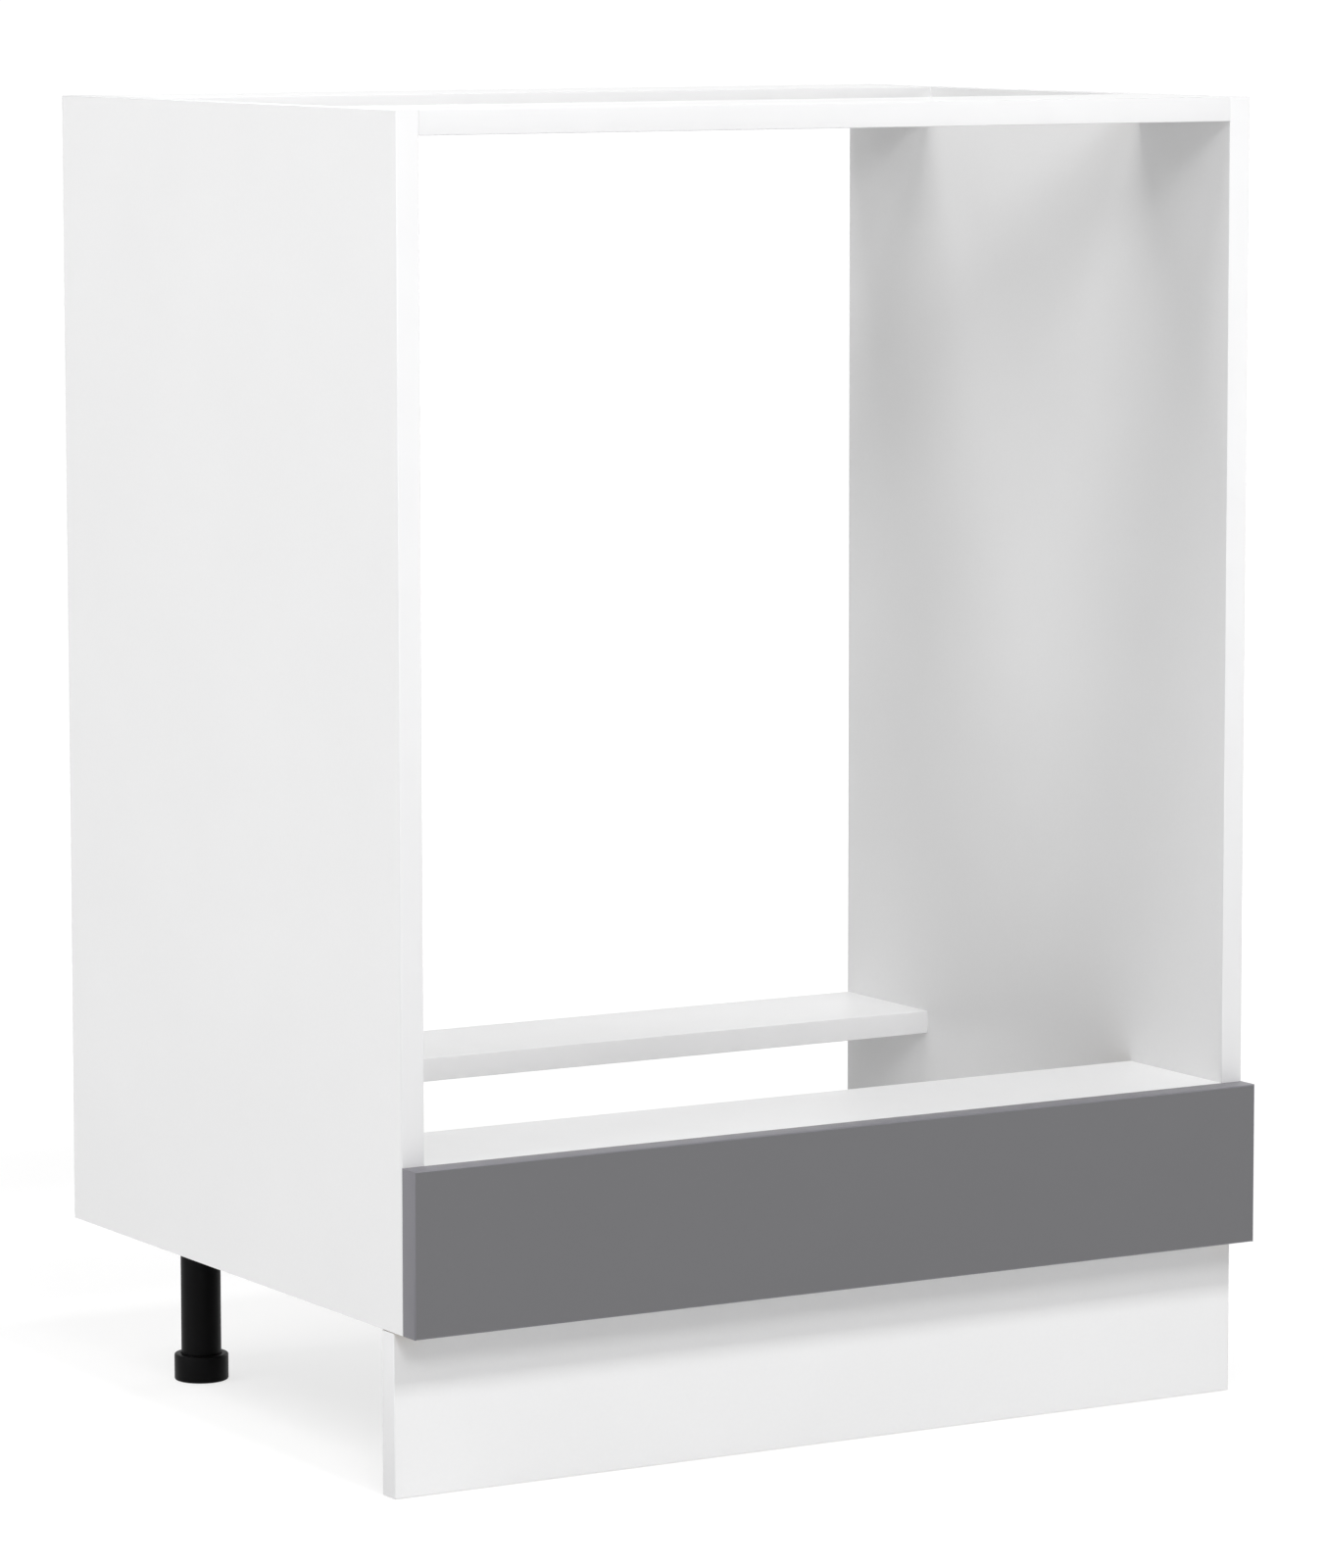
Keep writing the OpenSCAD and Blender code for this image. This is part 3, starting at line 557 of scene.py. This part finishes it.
def plating_effect():
    """Dull zinc plating: crystal patches of slightly different grey, and fine turning and tumbling marks."""
    patch_scale, mark_scale = 700.0, 1500.0
    dull_grey, bright_grey = (0.50, 0.51, 0.53, 1), (0.66, 0.67, 0.69, 1)
    share_low, share_high = 0.2, 0.8
    smooth_zinc, rough_zinc = 0.28, 0.46
    inputs = [("Position", "Vector")]
    outputs = [("Colour", "Color"), ("Roughness", "Float"), ("Height", "Float")]
    tree, given, give = effect("zinc_plating", inputs, outputs)
    cell_sockets = {"Vector": given["Position"], "Scale": patch_scale}
    cells = put(tree, "ShaderNodeTexVoronoi", {"feature": "F1"}, cell_sockets)
    patch = put(tree, "ShaderNodeSeparateColor", {}, {0: cells.outputs["Color"]}).outputs[0]
    marks = noise(tree, given["Position"], mark_scale, detail=3.0)
    share = maths(tree, "MULTIPLY", maths(tree, "ADD", patch, marks), 0.5)
    rough = span(tree, share, share_low, share_high, smooth_zinc, rough_zinc)
    give(Colour=blend_colour(tree, share, dull_grey, bright_grey), Roughness=rough, Height=marks)
    return tree


zinc_plating = plating_effect()


def plated_finish(name, depth):
    """Zinc-plated steel."""
    material, tree, skin, place = finish_of(name)
    look = use(tree, zinc_plating, {"Position": place})
    tree.links.new(look["Colour"], skin.inputs["Base Color"])
    tree.links.new(look["Roughness"], skin.inputs["Roughness"])
    tree.links.new(relief(tree, look["Height"], texture_bump, depth), skin.inputs["Normal"])
    skin.inputs["Metallic"].default_value = 1.0
    return material


zinc = plated_finish("dull_zinc", depth=0.02 * mm)
for node, arris in (("cam_locks", lock_round), ("cam_bolts", bolt_round)):
    fit(merged_copy(node, node + "_set", arris), "carcass", node, zinc)

# Leg sockets: black plastic flanges with four ribs, screwed under the bottom panel.
# The collar's inside has a groove that the leg tube's bead snaps into.
black = (0.003, 0.003, 0.0033, 1)
leg_round = 0.3 * mm
black_plastic = plastic_finish("black_moulding", black, depth=0.02 * mm, gloss=0.06)
feet = ("front_left", "front_right", "rear_left", "rear_right")
for foot in feet:
    socket = merged_copy("leg_socket_" + foot, "socket_" + foot, leg_round)
    fit(socket, "carcass", "leg_socket_" + foot, black_plastic)

# Wood screws: zinc-plated, countersunk, with a cross recess and a rolled right-hand thread.
# They hold the leg sockets, the fascia brackets and the clip plates.
screw_pitch = 1.8 * mm
screw_crest = 1.9 * mm
screw_root = 0.62 * screw_crest
screw_neck = 0.9 * screw_crest
plain_neck = 0.4 * mm
point_length = 3.0 * mm
point_share = 0.02
point_gap = 0.05 * mm
head_rim = 0.4 * mm
head_share = 0.9
hub_share = 0.05
recess_reach = 1.9 * mm
recess_depth = 1.3 * mm
recess_width = 0.5 * mm
recess_flank = 0.3 * mm
recess_curve = 0.6
crest_slope = 2.4
face_rings, cone_rings, thread_rings, screw_points = 14, 5, 78, 28


def wood_screw(low, high, points):
    """Rings of one screw. From the middle of its face out to the rim and down the cone the radius grows and
    falls. Below it a triangle wave that climbs a pitch a turn gives the thread, and the end closes to a
    point. The recess is a cross pressed into the face, deepest in the middle."""
    axis = int(np.argmax(high - low))
    first, second = cross_axes[axis]
    centre, length = (low + high) / 2, high[axis] - low[axis]
    head_r = (high - low)[first] / 2
    off_axis = np.hypot(points[:, first] - centre[first], points[:, second] - centre[second])
    head_up = points[off_axis > head_share * head_r, axis].mean() > centre[axis]
    face = np.linspace(hub_share, 1, face_rings) * head_r
    cone = np.linspace(head_r, screw_neck, cone_rings)
    neck = head_rim + (head_r - cone)
    shank = np.linspace(neck[-1] + plain_neck, length - point_gap, thread_rings)
    radius = np.concatenate([face, [head_r], cone[1:], np.zeros(len(shank))])
    depth = np.concatenate([np.zeros(len(face)), [head_rim], neck[1:], shank])
    angle = 2 * np.pi * np.arange(screw_points) / screw_points
    turns = shank[:, None] / screw_pitch + angle[None] / (2 * np.pi)
    wave = np.clip(1 - crest_slope * (1 - np.abs(2 * (turns % 1) - 1)), 0, 1)
    taper = np.clip((length - shank) / point_length, point_share, 1)[:, None]
    reach = np.repeat(radius[:, None], screw_points, 1)
    reach[-len(shank):] = taper * (screw_root + (screw_crest - screw_root) * wave)
    drop = np.repeat(depth[:, None], screw_points, 1)
    flat_x, flat_y = reach * np.cos(angle), reach * np.sin(angle)
    arm = np.minimum(np.abs(flat_x), np.abs(flat_y))
    reach_out = np.maximum(np.abs(flat_x), np.abs(flat_y))
    slot = np.clip((recess_width - arm) / recess_flank + 0.5, 0, 1)
    dish = np.clip((recess_reach - reach_out) / recess_reach, 0, 1) ** recess_curve
    drop[: len(face)] += recess_depth * (slot * dish)[: len(face)]
    rings = np.empty(reach.shape + (3,))
    turn_way = 1 if head_up else -1
    rings[..., first] = centre[first] + flat_x
    rings[..., second] = centre[second] + turn_way * flat_y
    rings[..., axis] = (high[axis] - drop) if head_up else (low[axis] + drop)
    return rings


bright_zinc = plated_finish("bright_screw_zinc", depth=0.008 * mm)
screw_sets = {
    "leg_socket_screws": "carcass",
    "fascia_bracket_screws": "carcass",
    "clip_plate_screws": "plinth",
}
for node, body in screw_sets.items():
    screws = skin_over(node + "_set", [wood_screw(*solid) for solid in separate_solids(node)], turn=50)
    fit(screws, body, node, bright_zinc)

# Leg tubes: black plastic, threaded inside. They snap into the sockets and carry the cabinet's weight.
# They are turned by hand to set the height.
for foot in feet:
    node = "leg_tube_" + foot
    tube = merged_copy(node, "tube_" + foot, leg_round)
    fit(tube, "leg_" + foot, node, black_plastic)

# Screw feet: a cupped black pad moulded in one with the threaded spindle that runs up the tube.
# The tube turns round the spindle, so the right-hand thread drives the pad up or down.
pad_height = 17.0 * mm
pad_floor = 5.0 * mm
pad_round = 1.2 * mm
pad_lip = 0.4 * mm
sole_radii = np.array([0.4, 6.0, 13.0]) * mm
cup_radius = 13.15 * mm
cup_corner = 0.6 * mm
spindle_radius = 8.0 * mm
spindle_root = spindle_radius - 1.0 * mm
spindle_corner = 0.5 * mm
spindle_chamfer = 1.0 * mm
thread_pitch = 4.0 * mm
thread_start = 7.0 * mm
thread_lead = 0.8 * mm
thread_fade = 1.5 * mm
thread_end = 2.5 * mm
flank_slope = 0.95
rise_rings, ring_points = 180, 96


def quarter(pivot, radius, turn):
    """Points of a quarter circle about a pivot (distance from the axis, height), from an angle onwards."""
    angle = turn + np.linspace(0, np.pi / 2, arc_points)
    return np.array(pivot) + radius * np.stack([np.cos(angle), np.sin(angle)], -1)


def screw_foot(node):
    """Rings of one foot from the middle of its sole, round the pad, into the cup and up the spindle. On the
    spindle the radius falls between crest and root by a smooth wave that climbs one pitch a turn."""
    low, high = (np.array(corner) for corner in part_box(node))
    pad_radius, top = (high[0] - low[0]) / 2, high[2] - low[2]
    sole = np.stack([sole_radii, np.zeros(len(sole_radii))], -1)
    foot_edge = quarter((pad_radius - pad_round, pad_round), pad_round, -np.pi / 2)
    top_edge = quarter((pad_radius - pad_round, pad_height - pad_round), pad_round, 0.0)
    inner_edge = quarter((cup_radius + pad_lip, pad_height - pad_lip), pad_lip, np.pi / 2)
    cup = [
        (cup_radius, pad_floor + cup_corner),
        (cup_radius - cup_corner, pad_floor),
        (spindle_root + spindle_corner, pad_floor),
        (spindle_root, pad_floor + spindle_corner),
    ]
    profile = np.concatenate([sole, foot_edge, top_edge, inner_edge, cup])
    rise = np.linspace(pad_floor + spindle_chamfer, top - spindle_chamfer, rise_rings)
    angle = 2 * np.pi * np.arange(ring_points) / ring_points
    turns = (rise[:, None] - thread_start) / thread_pitch - angle[None] / (2 * np.pi)
    wave = np.clip(0.5 + flank_slope * np.cos(2 * np.pi * turns), 0, 1)
    fade_in = np.clip((rise - thread_start + thread_lead) / thread_fade, 0, 1)
    fade_out = np.clip((top - thread_end - rise) / thread_fade, 0, 1)
    spindle = spindle_root + (spindle_radius - spindle_root) * wave * (fade_in * fade_out)[:, None]
    end = np.array([[spindle_root - spindle_chamfer], [sole_radii[0]]])
    reach = np.concatenate([profile[:, :1].repeat(ring_points, 1), spindle, end.repeat(ring_points, 1)])
    height = np.concatenate([profile[:, 1], rise, [top, top]])
    rings = np.empty(reach.shape + (3,))
    rings[..., 0] = (low[0] + high[0]) / 2 + reach * np.cos(angle)
    rings[..., 1] = (low[1] + high[1]) / 2 + reach * np.sin(angle)
    rings[..., 2] = low[2] + height[:, None]
    return rings


for foot in feet:
    node = "screw_foot_" + foot
    pad = skin_over("foot_" + foot, [screw_foot(node)], turn=50)
    fit(pad, "foot_" + foot, node, black_plastic)

# Fascia: grey board, 15 mm thick and as wide as the cabinet, screwed to the front from behind.
# All four edges have grey bands, whose rounded arrises catch the light as a thin line.
grey_film = (0.147, 0.147, 0.153, 1)
grey_band = (0.166, 0.163, 0.181, 1)
fascia_round = 0.7 * mm
centre, half = middle("fascia_panel")
grey_melamine = board_finish("grey_fascia", grey_film, "Y", centre, half.y, gloss=0.2)
fascia = merged_copy("fascia_panel", "fascia_board")
fit(fascia, "carcass", "fascia_panel", grey_melamine)

low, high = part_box("fascia_bands")
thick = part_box("fascia_panel")[0].x - low.x
left, right, under, over = low.x + thick, high.x - thick, low.z + thick, high.z - thick
grey_strips = [
    strip(low, (left, high.y, high.z), out=0, side=-1, run=2, round_r=fascia_round),
    strip((right, low.y, low.z), high, out=0, side=1, run=2, round_r=fascia_round),
    strip((left, low.y, low.z), (right, high.y, under), out=2, side=-1, run=0, round_r=fascia_round),
    strip((left, low.y, over), (right, high.y, high.z), out=2, side=1, run=0, round_r=fascia_round),
]
grey_edges = skin_over("fascia_edge_bands", grey_strips)
grey_strip = plastic_finish("grey_edge_band", grey_band, lines=draw_lines)
fit(grey_edges, "carcass", "fascia_bands", grey_strip)

# Fascia brackets: zinc-plated steel angles, 2 mm thick, stamped and folded.
# Wood screws hold them to the carcass and to the fascia's back.
small_round = 0.25 * mm
for place in ("left", "right", "low_left", "low_right"):
    node = "fascia_bracket_" + place
    fit(merged_copy(node, "bracket_" + place, small_round), "carcass", node, zinc)

# Plinth: white board that closes the space under the carcass and stands back from its front.
# Bands close its two ends, and it is pulled off forwards to clean under the cabinet.
centre, half = middle("plinth_panel")
melamine = board_finish("white_plinth", white_film, "Y", centre, half.y)
plinth = merged_copy("plinth_panel", "plinth_board")
fit(plinth, "plinth", "plinth_panel", melamine)
low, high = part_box("plinth_bands")
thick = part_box("plinth_panel")[0].x - low.x
ends = [
    strip(low, (low.x + thick, high.y, high.z), out=0, side=-1, run=2),
    strip((high.x - thick, low.y, low.z), high, out=0, side=1, run=2),
]
fit(skin_over("plinth_edge_bands", ends), "plinth", "plinth_bands", white_strip)

# Plinth clips: black plastic rings that spring over the front leg tubes. Each slides sideways in
# a plate that two screws hold to the plinth's back, so it finds its tube.
for side in ("left", "right"):
    for node in ("clip_plate_" + side, "plinth_clip_" + side):
        moulding = merged_copy(node, node + "_moulding", small_round)
        fit(moulding, "plinth", node, black_plastic)

# Room: a plain pale floor and a white surround. The main lamp stands far in front and high above.
# Weaker soft ones fill from the front, from both sides and from overhead, and the floor keeps a shadow.
# Each lamp has its place, the point that it faces, its width in metres and its power in watts.
floor_size = 400.0
floor_drop = 0.2 * mm
floor_colour = (0.6, 0.6, 0.6, 1)
floor_shown = (0.36, 0.36, 0.36, 1)
glow_near, glow_far = 0.7, 1.0
near, far = 0.9, 2.6
surround = 0.22
lamps = {
    "key": ((0.0, -4.8, 6.4), (0.0, 0.0, 0.4), 1.2, 262.0),
    "front": ((-1.5, -4.0, 3.0), (0.0, 0.0, 0.5), 1.2, 59.0),
    "front_left": ((-3.0, -3.0, 3.2), (0.0, 0.0, 0.5), 1.5, 16.0),
    "front_right": ((4.0, -4.0, 0.8), (0.0, 0.0, 0.5), 2.0, 71.0),
    "left_fill": ((-4.0, 0.0, 0.5), (0.0, 0.0, 0.35), 1.6, 38.0),
    "right_fill": ((4.0, 1.3, 0.8), (0.0, 0.0, 0.4), 2.0, 60.0),
    "overhead_left": ((-2.2, 0.0, 3.0), (0.0, 0.0, 0.6), 1.6, 43.0),
    "overhead_rear": ((-1.0, 2.5, 2.8), (0.0, 0.0, 0.5), 1.6, 12.0),
}


def seen_rays(tree):
    """1 for rays that the eye follows: from the camera, in a reflection or through glass."""
    path = tree.nodes.new("ShaderNodeLightPath").outputs
    glossy = maths(tree, "MAXIMUM", path["Is Camera Ray"], path["Is Glossy Ray"])
    return maths(tree, "MAXIMUM", glossy, path["Is Transmission Ray"])


world = bpy.data.worlds.new("white_surround")
world.use_nodes = True
sky = world.node_tree
glow = sky.nodes["Background"]
glow.inputs["Color"].default_value = (1, 1, 1, 1)
sky.links.new(span(sky, seen_rays(sky), 0, 1, surround, 1.0), glow.inputs["Strength"])
bpy.context.scene.world = world

floor_mesh = bpy.data.meshes.new("floor")
reach, drop = floor_size / 2, -floor_drop
floor_corners = [(-reach, -reach, drop), (reach, -reach, drop), (reach, reach, drop), (-reach, reach, drop)]
floor_mesh.from_pydata(floor_corners, [], [(0, 1, 2, 3)])
floor = bpy.data.objects.new("floor", floor_mesh)
bpy.context.scene.collection.objects.link(floor)
material, tree, skin, place = finish_of("pale_floor")
tree.nodes.remove(skin)
lit = put(tree, "ShaderNodeBsdfDiffuse", {}, {"Color": floor_colour})
shown = put(tree, "ShaderNodeBsdfDiffuse", {}, {"Color": floor_shown})
away = put(tree, "ShaderNodeVectorMath", {"operation": "LENGTH"}, {0: place}).outputs["Value"]
strength = span(tree, away, near, far, glow_near, glow_far, smooth=True)
bright = put(tree, "ShaderNodeEmission", {}, {"Strength": strength})
pale = put(tree, "ShaderNodeAddShader", {}, {0: shown.outputs[0], 1: bright.outputs[0]})
either = put(tree, "ShaderNodeMixShader", {}, {0: seen_rays(tree), 1: lit.outputs[0], 2: pale.outputs[0]})
tree.links.new(either.outputs[0], tree.nodes["Material Output"].inputs["Surface"])
floor_mesh.materials.append(material)
floor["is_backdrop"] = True

for name, (place, aim, size, power) in lamps.items():
    lamp = bpy.data.lights.new(name, "AREA")
    lamp.shape = "SQUARE"
    lamp.size = size
    lamp.energy = power
    lamp_object = bpy.data.objects.new(name, lamp)
    lamp_object.location = place
    lamp_object.rotation_euler = (Vector(aim) - Vector(place)).to_track_quat("-Z", "Y").to_euler()
    bpy.context.scene.collection.objects.link(lamp_object)

# Camera: a long lens from the front left, a little above the cabinet. Its place, turn and lens are those of
# a pinhole camera fitted to the straight edges in the photo, with the cabinet 600 mm wide.
camera_place = (-2.18944, -3.69941, 0.91521)
camera_turn = np.radians([30.653, 7.034, -0.057])
lens = 157.905
sensor = 36.0
sight = 1000.0
azimuth, tilt, roll = camera_turn
forward = np.array([np.sin(azimuth) * np.cos(tilt), np.cos(azimuth) * np.cos(tilt), -np.sin(tilt)])
level = np.array([np.cos(azimuth), -np.sin(azimuth), 0.0])
upright = np.cross(level, forward)
right_hand = level * np.cos(roll) + upright * np.sin(roll)
up_hand = upright * np.cos(roll) - level * np.sin(roll)
camera = bpy.data.cameras.new("photo_view")
camera.lens = lens
camera.sensor_width = sensor
camera.sensor_fit = "AUTO"
camera.clip_end = sight
eye = bpy.data.objects.new("photo_view", camera)
pose = np.eye(4)
pose[:3, 0], pose[:3, 1], pose[:3, 2], pose[:3, 3] = right_hand, up_hand, -forward, camera_place
eye.matrix_world = Matrix(pose.tolist())
bpy.context.scene.collection.objects.link(eye)
bpy.context.scene.camera = eye
bpy.context.scene.view_settings.view_transform = "Standard"

low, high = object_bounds()
